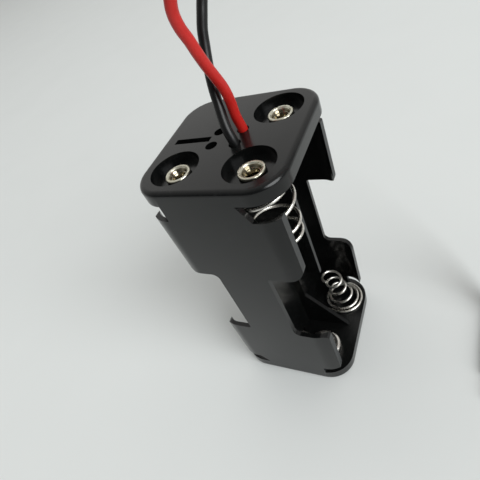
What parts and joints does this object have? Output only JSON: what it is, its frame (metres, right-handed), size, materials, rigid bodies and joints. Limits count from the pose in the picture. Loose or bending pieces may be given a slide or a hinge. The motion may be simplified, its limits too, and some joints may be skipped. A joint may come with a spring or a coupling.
{
  "type": "cylindrical cell holder",
  "caption": "Open-sided moulded holder for round cells, with spring contacts and insulated wire leads.",
  "frame": {"origin": "centre of the underside of the plate without leads", "axes": "+Z along the cells, towards the plate that the leads leave; the bays are open towards -X and +X; the closed walls face -Y and +Y"},
  "size_m": [0.0513, 0.0326, 0.0811],
  "materials": {
    "black_plastic": "satin",
    "plated_contact": "pressed nickel plate",
    "spring_wire": "drawn nickel plate",
    "plated_eyelet": "nickel plate, slightly worn",
    "tinned_core": "tinned strands",
    "black_insulation": "soft satin",
    "red_insulation": "soft satin"
  },
  "bodies": {
    "root": {"housing": "black_plastic", "contact_front_left": "plated_contact", "contact_back_right": "plated_contact", "contact_low_front_right": "plated_contact", "contact_low_back_left": "plated_contact", "spring_front_right": "spring_wire", "spring_back_left": "spring_wire", "spring_low_front_left": "spring_wire", "spring_low_back_right": "spring_wire", "eyelet_front_left": "plated_eyelet", "eyelet_front_right": "plated_eyelet", "eyelet_back_right": "plated_eyelet", "eyelet_low_front_right": "plated_eyelet", "eyelet_low_back_left": "plated_eyelet", "black_core": "tinned_core", "red_core": "tinned_core", "black_lead": "black_insulation", "red_lead": "red_insulation", "black_tip": "tinned_core", "red_tip": "tinned_core"}
  },
  "joints": []
}
